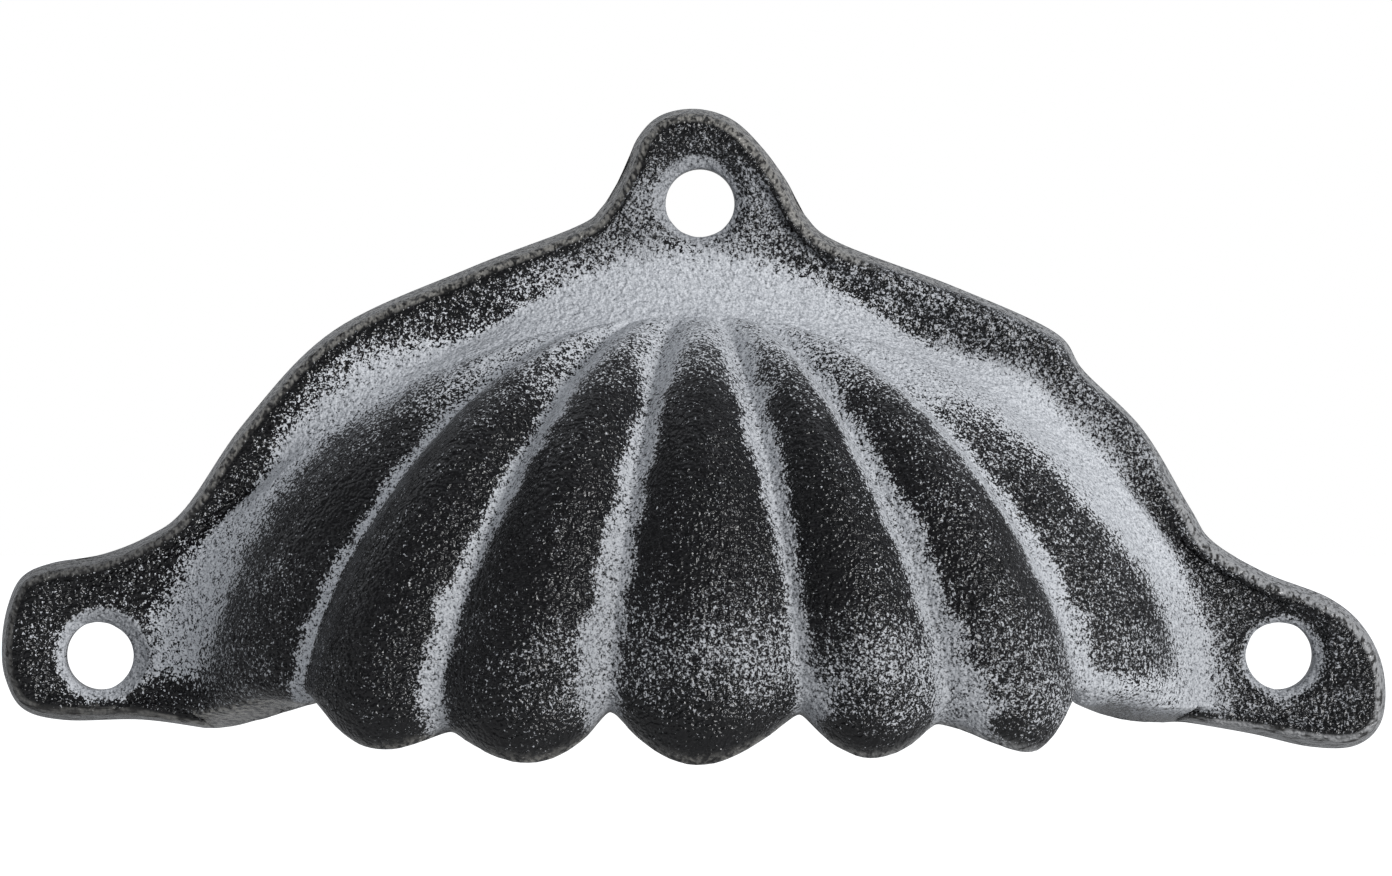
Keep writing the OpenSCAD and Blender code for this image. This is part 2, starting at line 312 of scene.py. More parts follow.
# the rim's direction is taken over one step of the source's own, coarser rim
SOURCE_RIM_STEPS = 3
neighbour = RIM_STEPS // SOURCE_RIM_STEPS
rim_along = rim[np.minimum(rim_last, rim_step + neighbour)] - rim[np.maximum(0, rim_step - neighbour)]
rim_along /= np.linalg.norm(rim_along, axis=1, keepdims=True)
rim_inward = np.stack([rim_along[:, 1], -rim_along[:, 0]], 1)
# the side leans and rounds less where the outline runs into the lip
end_steps = np.minimum(rim_step, rim_last - rim_step) * SOURCE_RIM_STEPS / RIM_STEPS
side_scale = mix(END_SIDE, 1.0, ease(end_steps / END_REACH))
rim_length = np.concatenate([[0], np.cumsum(np.linalg.norm(np.diff(rim, axis=0), axis=1))])


def side_ring(inset, depth):
    """A ring round the rim, set in from the outline, at a depth from the back face."""
    place = rim + rim_inward * (inset * side_scale)[:, None]
    return np.column_stack([place, np.full(len(place), depth)])


# The front of the flange from the cup's arch out to the rim, and the rim's rounded edge and side

arch = np.concatenate([outer[:, 0], outer_apex, outer[::-1, -1]])
arch_step = np.arange(len(arch))
arch_from = np.stack(
    [np.interp(np.linspace(0, len(arch) - 1, rim_last + 1), arch_step, arch[:, k]) for k in range(3)], 1
)
crest = side_ring(RIM_DRAFT + RIM_ROUND, RIM_T)
flange_reach = np.linalg.norm(crest[:, :2] - arch_from[:, :2], axis=1)
flange_shares = np.linspace(0, 1, FLANGE_STEPS + 1)[1:-1]


def flange_ring(share):
    """A ring between the arch and the rim's crest, with the hollow corner and the raised rim."""
    gone = flange_reach * share
    hollow = FILLET_H * (1 - np.clip(gone / np.minimum(FILLET_W, flange_reach), 0, 1)) ** 2
    slope = np.minimum(RIM_SLOPE, flange_reach)
    raised = (RIM_T - VALLEY_T) * ease(1 - (flange_reach - gone) / slope)
    place = mix(arch_from[:, :2], crest[:, :2], share)
    return np.column_stack([place, VALLEY_T + hollow + raised])


def flange_rings():
    made = [flange_ring(share) for share in flange_shares]
    for k in range(ROUND_STEPS + 1):
        turn = 90.0 * k / ROUND_STEPS
        inset = RIM_DRAFT + RIM_ROUND * (1 - sind(turn))
        made.append(side_ring(inset, RIM_T - RIM_ROUND * (1 - cosd(turn))))
    for share in SIDE_SHARES:
        made.append(side_ring(RIM_DRAFT * (1 - share), (RIM_T - RIM_ROUND) * (1 - share)))
    return np.array(made)


rings = flange_rings()
ring_count = rings.shape[0]


# One closed surface out of the cup, the flange and the hollow

rings_at = ROWS * SPAN + 1
inner_at = rings_at + ring_count * (rim_last + 1)
points = np.concatenate(
    [outer.reshape(-1, 3), outer_apex, rings.reshape(-1, 3), inner.reshape(-1, 3), inner_apex]
)


def grid_faces(start, rows, columns, turned=False):
    """Quads between the points of a grid that is kept row by row."""
    r, c = np.meshgrid(np.arange(rows - 1), np.arange(columns - 1), indexing="ij")
    a = (start + r * columns + c).ravel()
    quads = np.stack([a, a + columns, a + columns + 1, a + 1], 1)
    return (quads[:, ::-1] if turned else quads).tolist()


def arch_ids(start):
    """Points of a cup surface along its arch, from the left end of the lip over the apex."""
    left = [start + j * SPAN for j in range(ROWS)]
    right = [start + j * SPAN + COLUMNS for j in range(ROWS)]
    return left + [start + ROWS * SPAN] + right[::-1]


def stitch(inner_ids, outer_ids, turned=False):
    """Triangles between two rows of different count that run side by side."""
    made, i, k = [], 0, 0
    n, m = len(inner_ids) - 1, len(outer_ids) - 1
    while i < n or k < m:
        if k < m and (i == n or (k + 0.5) / m <= (i + 0.5) / n):
            face = (inner_ids[i], outer_ids[k], outer_ids[k + 1])
            k += 1
        else:
            face = (inner_ids[i], outer_ids[k], inner_ids[i + 1])
            i += 1
        made.append(face[::-1] if turned else face)
    return made


def cap_faces(start, turned=False):
    """Triangles from the last row of a cup surface to its apex."""
    last = start + (ROWS - 1) * SPAN
    made = [(last + c, start + ROWS * SPAN, last + c + 1) for c in range(COLUMNS)]
    return [f[::-1] for f in made] if turned else made


def ring_ids(k):
    return list(range(rings_at + k * (rim_last + 1), rings_at + (k + 1) * (rim_last + 1)))


def end_faces(i, cup, hollow, turned=False):
    """Closes one end of the lip, from the hollow's edge to the outline."""
    ladder = [cup] + [ring_ids(k)[i] for k in range(ring_count)]
    made = [(hollow, ladder[k + 1], ladder[k]) for k in range(len(ladder) - 1)]
    return [f[::-1] for f in made] if turned else made


faces = (
    grid_faces(0, ROWS, SPAN)
    + cap_faces(0)
    + stitch(arch_ids(0), ring_ids(0))
    + grid_faces(rings_at, ring_count, rim_last + 1)
    + grid_faces(inner_at, ROWS, SPAN, turned=True)
    + cap_faces(inner_at, turned=True)
    + stitch(arch_ids(inner_at), ring_ids(ring_count - 1), turned=True)
    + [(c, c + 1, inner_at + c + 1, inner_at + c) for c in range(COLUMNS)]
    + end_faces(0, 0, inner_at)
    + end_faces(rim_last, COLUMNS, inner_at + COLUMNS, turned=True)
)


def mesh_object(name, places, cells):
    """A new object in the scene, out of points in metres and faces."""
    data = bpy.data.meshes.new(name)
    data.from_pydata(places, [], cells)
    made = bpy.data.objects.new(name, data)
    bpy.context.scene.collection.objects.link(made)
    return made


points_in_frame = np.column_stack([points[:, 0], -points[:, 2], points[:, 1]]) * MM
casting = mesh_object("cup_pull_casting", points_in_frame.tolist(), faces)
casting.data.flip_normals()


# Screw holes, cut with a turned cutter that leaves a shallow dish with a soft edge

def cutter_profile():
    """Radius and depth, from behind the back face out to in front of the flange."""
    hole_r, dish_r = HOLE_D / 2, DISH_D / 2
    behind, ahead, soft = -1, VALLEY_T + 1.2, 0.15
    floor = VALLEY_T - DISH_DEPTH
    return [(0, behind), (hole_r, behind), (hole_r, floor - soft), (hole_r + 0.06, floor),
            (hole_r + 0.35, floor + soft), (dish_r - 0.25, VALLEY_T - soft),
            (dish_r + 0.1, VALLEY_T + 0.12), (dish_r + 0.9, ahead), (0, ahead)]


def hole_cutter(hole):
    """A lathe-turned cutter on the axis of one screw hole."""
    profile = cutter_profile()
    made, cells = [], []
    for radius, depth in profile[1:-1]:
        for k in range(HOLE_STEPS):
            a = 2 * math.pi * k / HOLE_STEPS
            x, z = hole[0] + radius * math.cos(a), hole[1] + radius * math.sin(a)
            made.append((x * MM, -depth * MM, z * MM))
    for _, depth in (profile[0], profile[-1]):
        made.append((hole[0] * MM, -depth * MM, hole[1] * MM))
    rows = len(profile) - 2
    back_hub, front_hub = rows * HOLE_STEPS, rows * HOLE_STEPS + 1
    for k in range(HOLE_STEPS):
        n = (k + 1) % HOLE_STEPS
        cells.append((back_hub, n, k))
        cells.append((front_hub, (rows - 1) * HOLE_STEPS + k, (rows - 1) * HOLE_STEPS + n))
        for j in range(rows - 1):
            low, high = j * HOLE_STEPS, (j + 1) * HOLE_STEPS
            cells.append((low + k, low + n, high + n, high + k))
    return mesh_object("hole_cutter", made, cells)


def cut_holes(piece):
    cutters = [hole_cutter(h) for h in (LEFT_HOLE, RIGHT_HOLE, TOP_HOLE)]
    for cutter in cutters:
        cut = piece.modifiers.new("screw_hole", "BOOLEAN")
        cut.operation = "DIFFERENCE"
        cut.solver = "EXACT"
        cut.object = cutter
    bpy.context.view_layer.update()
    shaped = piece.evaluated_get(bpy.context.evaluated_depsgraph_get())
    result = bpy.data.meshes.new_from_object(shaped)
    piece.modifiers.clear()
    piece.data = result
    for cutter in cutters:
        bpy.data.objects.remove(cutter)


cut_holes(casting)


# Where the pale wash stays, as marks on every point from the form's own values. "wash" is its cover,
# from 0 for bare iron to about 1 for a full coat, and "thin" is how thin and soft a coat it is.

# In each of these directions round the cup: how far the valley's wash reaches over the cup, how far
# beyond the arch it starts to thin out, and the cover that is left further out on the flange
AROUND = (5, 30, 60, 90, 130, 165, 178)
OVER_CUP = (1.4, 3.3, 3.9, 1.1, 1.2, 1.8, 1.3)
THINS_FROM = (-1.0, -1.7, -0.1, 3.2, 2.3, 1.0, 3.0)
LEFT_BEYOND = (0.20, 0.22, 0.30, 0.50, 0.20, 0.14, 0.20)
# the width over which it thins out, at the left and at the right
THINS_OVER = (3.2, 4.8)

# Cover in the valley at the left and in the middle, what the right has more, and its lowest part less.
# The lower cover at the left is partly darker specks and partly painted shade, where the cup shades it
# from the light on the right.
VALLEY_LEFT_SPECKS_AND_SHADE, VALLEY_MIDDLE, VALLEY_RIGHT, VALLEY_LOW_RIGHT = 0.74, 1.05, 0.10, -0.16
LUG_LESS = 0.23
FAR_RIGHT_THIN = 0.40

# How far the wash of each groove reaches to the left and right of it, at the lip and near the top
BAND_LEFT = ((1.2, 0.7), (1.6, 0.4), (2.1, 0.9), (0.4, 1.6), (1.0, 2.0), (1.2, 2.8))
BAND_RIGHT = ((0.0, 0.6), (0.4, 2.3), (0.7, 2.0), (1.0, 1.3), (1.7, 0.8), (1.6, 0.3))
# how thin and dark the wash is in each groove, more so towards the lip: partly a thinner coat, partly
# painted shade in the grooves, and the left groove keeps a thick, light coat as painted light where the
# next flute shades it
BAND_THIN_AND_SHADE = (0.0, 0.4, 0.7, 0.7, 0.6, 0.3)
BAND_WASH = 0.72
BAND_CROWN_LESS = 0.08
BAND_EDGE = 1.5
BAND_WANDER, WANDER_CELL = 0.5, 1.9
LIP_SPREAD = 1.2

# Cover on the bare flutes: everywhere, with more at the left end and towards the right. There is more low
# down, partly real specks and partly a painted highlight, and most on a flute's right side, where the
# pale specks paint the highlight of the light from the right front. There is less at the tips.
BARE, BARE_LEFT, BARE_RIGHT, BARE_FAR_RIGHT = 0.05, 0.15, 0.13, 0.04
LOW_SPECKS_AND_HIGHLIGHT, PAINTED_FLANK_HIGHLIGHT, BARE_TIP = 0.22, 0.14, -0.14
# cover on the lower edge at the right, and on the flutes' upper ends, where their crests have less
LOWER_RIGHT_WASH = 0.62
CROWN_WASH, CROWN_HUMP_LESS = 0.71, 0.14
# how thin the coat is on the bare flutes and in the hollow, and what a flute has more low down, where its
# softer specks paint a highlight
BARE_THIN, LOW_HIGHLIGHT_THIN = 0.35, 0.22

# Cover on the rim's crest and beside it, at the left and at the right
CREST_WASH = (0.06, 0.36)
BESIDE_CREST_WASH = (0.42, 0.54)
APEX_WASH = 0.9
HOLLOW_WASH = 0.1
# Rows of the rounded edge that look like the side, and rows up from the lip over which this
# look fades out
ROUND_AS_SIDE = 5
LIP_AS_SIDE = 7.0

# Wash round each screw hole: the hole, the reach, and the shift of its middle
RING_WASH = (
    (LEFT_HOLE, 3.6, (0.35, 0.1)),
    (RIGHT_HOLE, 3.1, (0.15, -0.1)),
    (TOP_HOLE, 3.35, (-0.25, 0.15)),
)
RING_COVER = 0.85
# how thin, and so how dark, it is at the lower left and at the upper right; the thin, darker wash at the
# upper right is painted shade on the side of each dish that faces away from the light
RING_THIN_AND_SHADE = (0.30, 0.95)


def direction(x, z):
    """Direction round the cup, 0 at the right and below there, and 180 at the left and below."""
    return np.degrees(np.arctan2(np.maximum(0, z - WIDEST_Z) / CUP_H, (x - CUP_X) / CUP_A))


def valley_wash(x, z, beyond):
    """Cover of the wash beside the arch, at a distance beyond it."""
    turn = direction(x, z)
    # less cover at the left: partly darker specks, partly painted shade from the cup
    full = mix(VALLEY_LEFT_SPECKS_AND_SHADE, VALLEY_MIDDLE, ramp(x, -34, -4)) + VALLEY_RIGHT * ramp(x, 12, 22)
    full = full + VALLEY_LOW_RIGHT * ramp(turn, 26, 12)
    width = mix(*THINS_OVER, ramp(x, 0, 15))
    thinned = ease((beyond - np.interp(turn, AROUND, THINS_FROM)) / width)
    low_left = ramp(z, -0.5, -3.0) * ramp(x, -30, -34)
    left_over = np.interp(turn, AROUND, LEFT_BEYOND) - LUG_LESS * ramp(z, 34.5, 38.5)
    return mix(full, left_over, np.maximum(thinned, low_left))


def far_right_thin(x, z):
    """The valley's wash is thinner beside the right ear."""
    return FAR_RIGHT_THIN * ramp(direction(x, z), 22, 6)


def bare_wash(x, z):
    """Cover left on the flutes: most near the lip on the side towards the right, partly real specks and
    partly a painted highlight of the light from the right front.
    """
    # each flute's painted highlight sits lower the further the flute is from the middle
    height = 0.8 - np.minimum(2, np.abs(column_lobe - FLUTES // 2))
    low = np.exp(-((z - height) / 3.8) ** 2) * ramp(x, -21, -1) * (1 - 0.4 * ramp(x, 14, 24))
    lit_flank = ramp(column_share[None, :], 0.2, 0.7)
    right = BARE_RIGHT * ramp(x, 6, 21) + BARE_FAR_RIGHT * ramp(x, 24, 32)
    ends = BARE_LEFT * ramp(x, -26, -32) + right
    return BARE + ends + (LOW_SPECKS_AND_HIGHLIGHT + PAINTED_FLANK_HIGHLIGHT * lit_flank) * low + BARE_TIP * ramp(z, -3.0, -5.5)


def uneven(place, cell):
    """Smooth noise between about -0.5 and 0.5 at each place."""
    flat = place.reshape(-1, 3)
    return np.array([noise.noise(Vector(p) / cell) for p in flat]).reshape(place.shape[:-1])


def groove_bands(z, body):
    """Share of the grooves' wash on each point of the cup, and how thin the wash is; the thin wash's
    darker colour partly paints shade in the grooves.
    """
    up = ramp(body, 0.1, 0.85)
    lip_spread = 1 + LIP_SPREAD * ramp(z, 0.3, -2.2)
    wander = 1 + BAND_WANDER * uneven(outer, WANDER_CELL)
    groove, thin = np.zeros_like(z), np.full_like(z, BARE_THIN)
    for lobe in range(FLUTES):
        cells = np.flatnonzero(column_lobe == lobe)
        for edge, reaches in ((lobe, BAND_RIGHT), (lobe + 1, BAND_LEFT)):
            if not 0 < edge < FLUTES:
                continue
            away = np.linalg.norm(outer[:, cells] - outer[:, [LOBE_STEPS * edge]], axis=-1)
            reach = mix(*reaches[edge - 1], up[:, cells]) * wander[:, cells]
            if edge > FLUTES // 2 and reaches is BAND_RIGHT:
                reach = reach * lip_spread[:, cells]
            here = 1 - ease((away - reach) / BAND_EDGE + 0.5)
            # thinner and darker lower down: partly a thinner coat, partly painted shade in the groove
            band_thin_and_shade = BAND_THIN_AND_SHADE[edge - 1] * (1 - 0.7 * up[:, cells])
            thin[:, cells] = mix(thin[:, cells], band_thin_and_shade, here)
            groove[:, cells] = np.maximum(groove[:, cells], here)
    return groove, thin


def cup_marks():
    """Cover and thinness of the wash on the cup, and each point's distance inside the arch."""
    x, z = outer[..., 0], outer[..., 1]
    body = np.clip(z - WIDEST_Z, 0, None) / CUP_H
    rho = np.sqrt(((x - CUP_X) / CUP_A) ** 2 + body**2)
    inside = (1 - np.clip(rho, 0, 1)) * CUP_A
    topness = ramp(body, 0.45, 0.95)
    crown = ramp(inside, 11.5, 0) * topness
    lower_right = ramp(z, 0.0, -2.5) * ramp(x, 29, 33)
    base = mix(bare_wash(x, z), LOWER_RIGHT_WASH, lower_right)
    base = mix(base, CROWN_WASH - CROWN_HUMP_LESS * column_hump, crown)

    # the valley's wash runs over the arch into the corner, less far on a flute's crest near the top
    over = np.interp(direction(x, z), AROUND, OVER_CUP) * (1 - 0.85 * column_hump * topness)
    feather = 2.8 - 1.2 * topness * column_hump
    corner = 1 - ease((inside - over) / feather + 0.5)
    beside = valley_wash(x, z, -inside) * mix(1.0, 0.84, ramp(inside, 0, 0.8))

    groove, thin = groove_bands(z, body)
    in_groove = mix(base, BAND_WASH - BAND_CROWN_LESS * crown, groove)
    wash = np.maximum(in_groove, mix(base, beside, corner))
    thin *= (1 - corner) * (1 - 0.9 * crown) * (1 - lower_right)
    # softer specks low on the flutes, where they paint a highlight
    low = np.exp(-((z - 0.5) / 5.0) ** 2)
    thin += LOW_HIGHLIGHT_THIN * low * (1 - groove) * (1 - corner) * (1 - lower_right)
    return wash, np.maximum(thin, far_right_thin(x, z) * corner), inside


def flange_marks():
    """Cover and thinness of the wash on the flange's rings, their distance from the arch, and the
    share of the side's look."""
    x, z = rings[..., 0], rings[..., 1]
    share = np.concatenate([flange_shares, np.ones(ROUND_STEPS + 1 + len(SIDE_SHARES))])
    from_arch = share[:, None] * flange_reach
    to_crest = (1 - share)[:, None] * flange_reach
    valley = valley_wash(x, z, from_arch)
    crest_wash = mix(*CREST_WASH, ramp(x, 2, 20) * ramp(z, 2, 10))
    beside_crest = np.minimum(valley, mix(*BESIDE_CREST_WASH, ramp(x, -10, 10)))
    beside_crest = mix(crest_wash, beside_crest, ramp(to_crest, -0.1, 0.8))
    wash = mix(beside_crest, valley, ramp(to_crest, 0.7, 3.3))

    thin = 0.02 + 0.68 * ramp(x, 5, 25) + 0.72 * ramp(z, 27, 32)
    thin *= 1 - ramp(wash, 0.50, 0.85)
    thin = np.maximum(thin, far_right_thin(x, z))

    side = np.zeros_like(wash)
    right_shoulder = ramp(rim[:, 0], 12, 15) * (1 - ramp(rim[:, 0], 35, 38))
    side[-len(SIDE_SHARES) - ROUND_AS_SIDE:] = 1.0 - right_shoulder
    side[-len(SIDE_SHARES) - 1:] = 1.0
    return wash, thin, from_arch, side


def lip_side():
    """The rows at the lip's lowest edge look like the side, except on the right outer flute."""
    share = np.zeros((ROWS, SPAN))
    share[:LIP_ROWS] = ease(1 - (np.arange(LIP_ROWS) + 1.0) / LIP_AS_SIDE)[:, None]
    return share * np.where(on_right_end, 0.0, 1.0)


def joined(cup, apex, flange, hollow, hollow_apex):
    """One mark for all the points, in their order."""
    return np.concatenate([cup.ravel(), [apex], flange.ravel(), hollow.ravel(), [hollow_apex]])


def point_marks():
    """All the marks of the points before the cut."""
    cup_wash, cup_thin, inside = cup_marks()
    flange_wash, flange_thin, from_arch, flange_side = flange_marks()
    plain = np.zeros((ROWS, SPAN))
    along = np.broadcast_to(rim_length, flange_wash.shape)
    off_arch = joined(inside, 0.0, from_arch, inside, 0.0)
    return {
        "wash": joined(cup_wash, APEX_WASH, flange_wash, plain + HOLLOW_WASH, HOLLOW_WASH),
        "thin": joined(cup_thin, 0.0, flange_thin, plain + BARE_THIN, BARE_THIN),
        "side": joined(lip_side(), 0.0, flange_side, lip_side(), 0.0),
        "along": joined(plain, 0.0, along, plain, 0.0),
        "calm": 1 - ramp(off_arch, 0, 0.8),
    }


def point_table(data):
    co = np.empty(len(data.vertices) * 3)
    data.vertices.foreach_get("co", co)
    return co.reshape(-1, 3)


def ring_marks(now, thin):
    """Cover of the wash round the screw holes, and the thinness with it, whose darker thin wash towards
    the upper right paints shade.
    """
    x, depth, z = now[:, 0] / MM, -now[:, 1] / MM, now[:, 2] / MM
    ring = np.zeros(len(now))
    for hole, reach, shift in RING_WASH:
        away = np.hypot(x - hole[0] - shift[0], z - hole[1] - shift[1])
        near = RING_COVER * (1 - ramp(away, reach - 0.5, reach + 0.6)) * ramp(depth, 1.2, 2.0)
        to_shaded_side = ramp(x - hole[0] + 0.5 * (z - hole[1]), -1.5, 2.0)
        ring = np.maximum(ring, near)
        thin = np.maximum(thin, near * mix(*RING_THIN_AND_SHADE, to_shaded_side))
    return ring, thin


def mark_points(piece, before, marks):
    """Gives each point of the cut piece the marks of the nearest point before the cut."""
    tree = kdtree.KDTree(len(before))
    for i, p in enumerate(before):
        tree.insert(p, i)
    tree.balance()
    now = point_table(piece.data)
    nearest = np.array([tree.find(p)[1] for p in now])
    carried = {name: values[nearest] for name, values in marks.items()}
    carried["ring"], carried["thin"] = ring_marks(now, carried["thin"])
    for name, values in carried.items():
        layer = piece.data.attributes.new(name, "FLOAT", "POINT")
        layer.data.foreach_set("value", values.astype(np.float32))


mark_points(casting, points_in_frame, point_marks())


# Gentle unevenness of the cast surface: cell and height of each size. It is faded out towards the flat
# back, from a millimetre above the depth that stays smooth.

UNEVENNESS = ((5.0, 0.10), (1.6, 0.05), (0.7, 0.03))
SMOOTH_DEPTH = 0.4


def roughen(piece):
    data = piece.data
    co = point_table(data)
    normals = np.empty(len(co) * 3)
    data.vertices.foreach_get("normal", normals)
    normals = normals.reshape(-1, 3)
    amount = np.zeros(len(co))
    for cell, height in UNEVENNESS:
        amount += height * np.array([noise.noise(Vector(p) / (cell * MM)) for p in co])
    calm = np.empty(len(co))
    data.attributes["calm"].data.foreach_get("value", calm)
    amount *= ease(-co[:, 1] / MM - SMOOTH_DEPTH) * (1 - calm)
    data.vertices.foreach_set("co", (co + normals * (amount * MM)[:, None]).ravel())
    data.update()


def shade(piece):
    """Smooth shading, with a crisp edge round the flat back."""
    data = piece.data
    flat_sides = np.zeros(len(data.edges), int)
    for polygon in data.polygons:
        polygon.use_smooth = True
        if polygon.normal.y > 0.95:
            flat_sides[[data.loops[i].edge_index for i in polygon.loop_indices]] += 1
    crisp = data.attributes.new("sharp_edge", "BOOLEAN", "EDGE")
    crisp.data.foreach_set("value", flat_sides == 1)


roughen(casting)
shade(casting)


# Material: black iron, pale wash in the hollows, brown-grey sides. Each pair goes from dark to light.

IRON = ((0.002, 0.002, 0.0022, 1), (0.009, 0.009, 0.0100, 1))
THICK_WASH = ((0.34, 0.354, 0.378, 1), (0.60, 0.615, 0.64, 1))
THIN_WASH = ((0.17, 0.177, 0.190, 1), (0.30, 0.309, 0.325, 1))
SIDE_DARK = (0.022, 0.021, 0.020, 1)
# the side's light streaks: at the left ear, at the left, under the left outer flute, and at the right;
# the one under the left outer flute is also lighter as painted light on this downward face
EAR_STREAK = (0.115, 0.112, 0.106, 1)
LEFT_STREAK = (0.22, 0.212, 0.195, 1)
UNDER_STREAK_AND_LIGHT = (0.40, 0.385, 0.355, 1)
RIGHT_STREAK = (0.30, 0.302, 0.305, 1)
# how far the streaks shift, in metres, for each millimetre along the rim
STREAK_SHIFT = 0.0006
BACK_WASH = 0.12
GLOSS = 0.33
WHITE = (1, 1, 1, 1)


def put(tree, socket, value):
    """Sets an input to a value, or links it to another node's output."""
    if isinstance(value, bpy.types.NodeSocket):
        tree.links.new(value, socket)
    else:
        socket.default_value = value


def add(tree, kind, *in_order, **named):
    """A node with some inputs in their order, and its settings and other inputs by name."""
    made = tree.nodes.new(kind)
    for name, value in named.items():
        if name in made.inputs:
            put(tree, made.inputs[name], value)
        else:
            setattr(made, name, value)
    for socket, value in zip(made.inputs, in_order):
        put(tree, socket, value)
    return made


def maths(tree, operation, a, b=0.0, c=0.0):
    return add(tree, "ShaderNodeMath", a, b, c, operation=operation).outputs[0]


def step_between(tree, value, low, high):
    """Goes smoothly from 0 at low to 1 at high."""
    made = add(tree, "ShaderNodeMapRange", value, low, high, 0.0, 1.0, interpolation_type="SMOOTHSTEP")
    return made.outputs[0]


def blend(tree, kind, first, share, a, b):
    """A mix node for one kind of value, whose two inputs start at the index first."""
    made = add(tree, "ShaderNodeMix", data_type=kind)
    for index, value in ((0, share), (first, a), (first + 1, b)):
        put(tree, made.inputs[index], value)
    return made


def blend_colour(tree, share, a, b):
    return blend(tree, "RGBA", 6, share, a, b).outputs[2]


def blend_value(tree, share, a, b):
    return blend(tree, "FLOAT", 2, share, a, b).outputs[0]


def mark(tree, name):
    return add(tree, "ShaderNodeAttribute", attribute_name=name).outputs["Fac"]


def grain(tree, vector, cell, detail=2.0, rough=0.55):
    """Noise whose grains are about cell millimetres across."""
    made = add(tree, "ShaderNodeTexNoise", Vector=vector, Scale=1.0 / (cell * MM), Detail=detail,
               Roughness=rough)
    return made.outputs["Fac"]


def centred(tree, value):
    return maths(tree, "SUBTRACT", value, 0.5)


def wash_colour(tree, place, on_back):
    """Colour of the front, hollow and back, and how much of the wash shows at each spot."""
    fine = centred(tree, grain(tree, place, 0.26, 2.0, 0.6))
    finer = centred(tree, grain(tree, place, 0.13, 2.0, 0.5))
    cloud = centred(tree, grain(tree, place, 2.6, 4.0, 0.6))
    patch = centred(tree, grain(tree, place, 7.0, 1.0, 0.5))
    speck = maths(tree, "MULTIPLY_ADD", finer, 0.8, maths(tree, "MULTIPLY", fine, 1.6))

    # the wash shows where its cover, made cloudy, is more than the speckle takes away
    front_wash = maths(tree, "MAXIMUM", mark(tree, "wash"), mark(tree, "ring"))
    wash = blend_value(tree, on_back, front_wash, BACK_WASH)
    cover = maths(tree, "MULTIPLY_ADD", patch, 0.25, maths(tree, "MULTIPLY_ADD", cloud, 0.65, wash))
    thinned = mark(tree, "thin")
    crisp = maths(tree, "MULTIPLY_ADD", step_between(tree, cover, 0.60, 1.05), 0.26, 0.08)
    soft = maths(tree, "MULTIPLY_ADD", thinned, 0.20, crisp)
    over = maths(tree, "SUBTRACT", maths(tree, "ADD", cover, speck), 0.5)
    shown = step_between(tree, maths(tree, "DIVIDE", over, soft), -1.0, 1.0)

    black = blend_colour(tree, grain(tree, place, 0.60, 2.0, 0.6), *IRON)
    tint = step_between(tree, maths(tree, "MULTIPLY_ADD", fine, 1.2, finer), -0.28, 0.28)
    thick = blend_colour(tree, tint, *THICK_WASH)
    thin = blend_colour(tree, tint, *THIN_WASH)
    pale = blend_colour(tree, thinned, thick, thin)
    return blend_colour(tree, shown, black, pale), shown


def side_colour(tree, place, apart):
    """Colour of the cast side, streaked across the rim."""
    shift = maths(tree, "MULTIPLY", mark(tree, "along"), STREAK_SHIFT)
    sideways = add(tree, "ShaderNodeCombineXYZ", X=shift).outputs[0]
    streak_place = add(tree, "ShaderNodeVectorMath", sideways, place, operation="ADD").outputs[0]
    streak = grain(tree, streak_place, 0.50, 1.0, 0.6)
    to_right = step_between(tree, apart["X"], 0.0, 0.03)
    streaked = step_between(tree, maths(tree, "MULTIPLY_ADD", to_right, 0.05, streak), 0.38, 0.62)

    off_left_ear = step_between(tree, apart["X"], -0.041, -0.034)
    left_of_groove = step_between(tree, apart["X"], -0.024, -0.028)
    low = step_between(tree, apart["Z"], 0.001, -0.002)
    under_flute = maths(tree, "MULTIPLY", low, maths(tree, "MULTIPLY", off_left_ear, left_of_groove))
    light = blend_colour(tree, off_left_ear, EAR_STREAK, LEFT_STREAK)
    # under the left outer flute the streaks are lighter, partly painted light on a face that looks down
    light = blend_colour(tree, under_flute, light, UNDER_STREAK_AND_LIGHT)
    light = blend_colour(tree, to_right, light, RIGHT_STREAK)
    return blend_colour(tree, streaked, SIDE_DARK, light)


def cast_iron():
    material = bpy.data.materials.new("washed cast iron")
    material.use_nodes = True
    tree = material.node_tree
    shader = tree.nodes["Principled BSDF"]
    shader.inputs["Specular IOR Level"].default_value = GLOSS
    place = add(tree, "ShaderNodeTexCoord").outputs["Object"]
    apart = add(tree, "ShaderNodeSeparateXYZ", Vector=place).outputs
    on_back = step_between(tree, apart["Y"], -0.0004, -0.0001)

    face, shown = wash_colour(tree, place, on_back)
    side_share = maths(tree, "MULTIPLY", mark(tree, "side"), maths(tree, "SUBTRACT", 1.0, on_back))
    colour = blend_colour(tree, side_share, face, side_colour(tree, place, apart))
    tree.links.new(colour, shader.inputs["Base Color"])
    tree.links.new(maths(tree, "MULTIPLY_ADD", shown, 0.42, 0.24), shader.inputs["Roughness"])

    # the finest grain of the casting, weaker under the wash
    pits, swells = grain(tree, place, 0.24, 0.0), grain(tree, place, 0.55, 0.0)
    height = maths(tree, "MULTIPLY_ADD", swells, 1.1, pits)
    relief = maths(tree, "MULTIPLY_ADD", shown, -0.30, 1.0)
    bump = add(tree, "ShaderNodeBump", Strength=relief, Distance=0.00020, Height=height)
    tree.links.new(bump.outputs[0], shader.inputs["Normal"])
    return material


casting.data.materials.clear()
casting.data.materials.append(cast_iron())
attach(casting, "root")
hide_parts("cup_pull")


# Floor, light and camera

